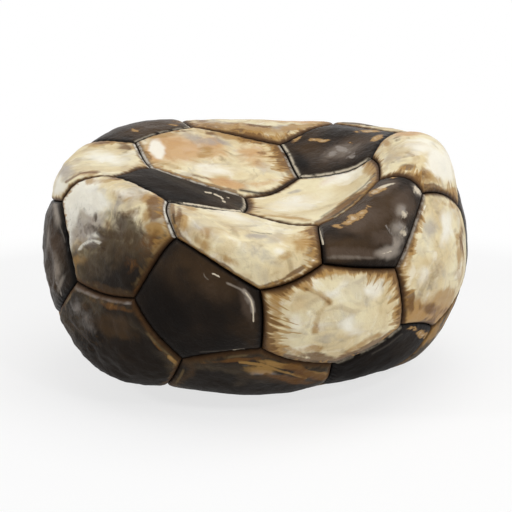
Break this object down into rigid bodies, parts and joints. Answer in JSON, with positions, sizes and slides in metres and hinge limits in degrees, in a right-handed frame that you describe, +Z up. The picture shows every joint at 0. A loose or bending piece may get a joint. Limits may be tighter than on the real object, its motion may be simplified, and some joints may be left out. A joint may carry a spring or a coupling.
{
  "type": "deflated football",
  "caption": "Deflated hand-sewn leather football with black and white panels, sunken on the floor with a caved-in top.",
  "frame": {"origin": "on the floor under the middle of the ball's bounding box", "axes": "+Z up, +X to the right and +Y to the back as the picture shows it"},
  "size_m": [0.2272, 0.2302, 0.1278],
  "materials": {
    "white_leather": "worn semi-gloss, stained tan and brown along the seams",
    "black_leather": "worn semi-gloss with chipped coating",
    "bladder_rubber": "matt",
    "valve_rubber": "matt"
  },
  "bodies": {
    "root": {"black_dent_front_left": "black_leather", "black_front": "black_leather", "black_front_right_rim": "black_leather", "black_left": "black_leather", "black_low_front_left": "black_leather", "black_low_front_right": "black_leather", "black_low_rear_left": "black_leather", "black_rear": "black_leather", "black_right": "black_leather", "black_top_rear_left": "black_leather", "black_top_rear_right": "black_leather", "black_underside": "black_leather", "bladder": "bladder_rubber", "valve": "valve_rubber", "white_dent_middle": "white_leather", "white_dent_ramp": "white_leather", "white_front_left_hump": "white_leather", "white_front_lip": "white_leather", "white_front_right": "white_leather", "white_low_front": "white_leather", "white_low_left": "white_leather", "white_low_left_side": "white_leather", "white_low_rear": "white_leather", "white_low_rear_right": "white_leather", "white_low_right": "white_leather", "white_rear_left": "white_leather", "white_rear_left_mid": "white_leather", "white_rear_right_top": "white_leather", "white_right_front": "white_leather", "white_rim_left": "white_leather", "white_rim_rear": "white_leather", "white_rim_right": "white_leather", "white_underside_front": "white_leather", "white_underside_left": "white_leather"}
  },
  "joints": []
}
